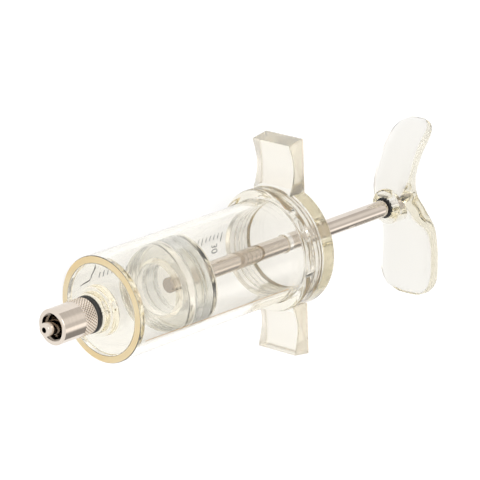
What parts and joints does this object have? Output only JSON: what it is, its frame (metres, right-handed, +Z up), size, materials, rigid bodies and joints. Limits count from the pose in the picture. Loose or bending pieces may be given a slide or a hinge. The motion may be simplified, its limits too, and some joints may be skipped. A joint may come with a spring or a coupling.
{
  "type": "luer lock syringe",
  "caption": "Reusable syringe with clear barrel, metal luer lock nozzle, winged screw cap, adjustable silicone piston, metal rod and S-shaped palm handle.",
  "frame": {"origin": "centre of the footprint of the syringe as it lies on a table, at table height", "axes": "+X from the nozzle towards the handle, +Y sideways along one finger wing, +Z up; the syringe's own axis rises 2.5 degrees from nozzle to handle, because it lies on the barrel's front rim and on the wider cap"},
  "size_m": [0.1644, 0.068, 0.0385],
  "materials": {
    "barrel": "clear, polished",
    "front_plug": "clear, polished",
    "cap": "clear, polished",
    "luer_nozzle": "nickel plated, satin",
    "nozzle_washer": "matte black",
    "piston_front_plate": "clear, polished",
    "piston_seal": "translucent silicone",
    "piston_rear_plate": "clear, polished",
    "plunger_rod": "polished plate",
    "handle_washer": "matte black",
    "handle": "clear, polished"
  },
  "bodies": {
    "barrel": {"barrel": "barrel", "front_plug": "front_plug", "cap": "cap", "luer_nozzle": "luer_nozzle", "nozzle_washer": "nozzle_washer"},
    "piston": {"piston_front_plate": "piston_front_plate", "piston_seal": "piston_seal", "piston_rear_plate": "piston_rear_plate"},
    "rod": {"plunger_rod": "plunger_rod", "handle_washer": "handle_washer", "handle": "handle"}
  },
  "joints": [
    {"name": "plunger_slide", "type": "slide", "parent": "barrel", "child": "piston", "axis": [0.999, 0, 0.0445], "range_m": [-0.0181, 0.0423]},
    {"name": "handle_turn", "type": "hinge", "parent": "piston", "child": "rod", "pos_m": [0.00012, 0, 0.0186], "axis": [0.999, 0, 0.0445], "continuous": true}
  ]
}
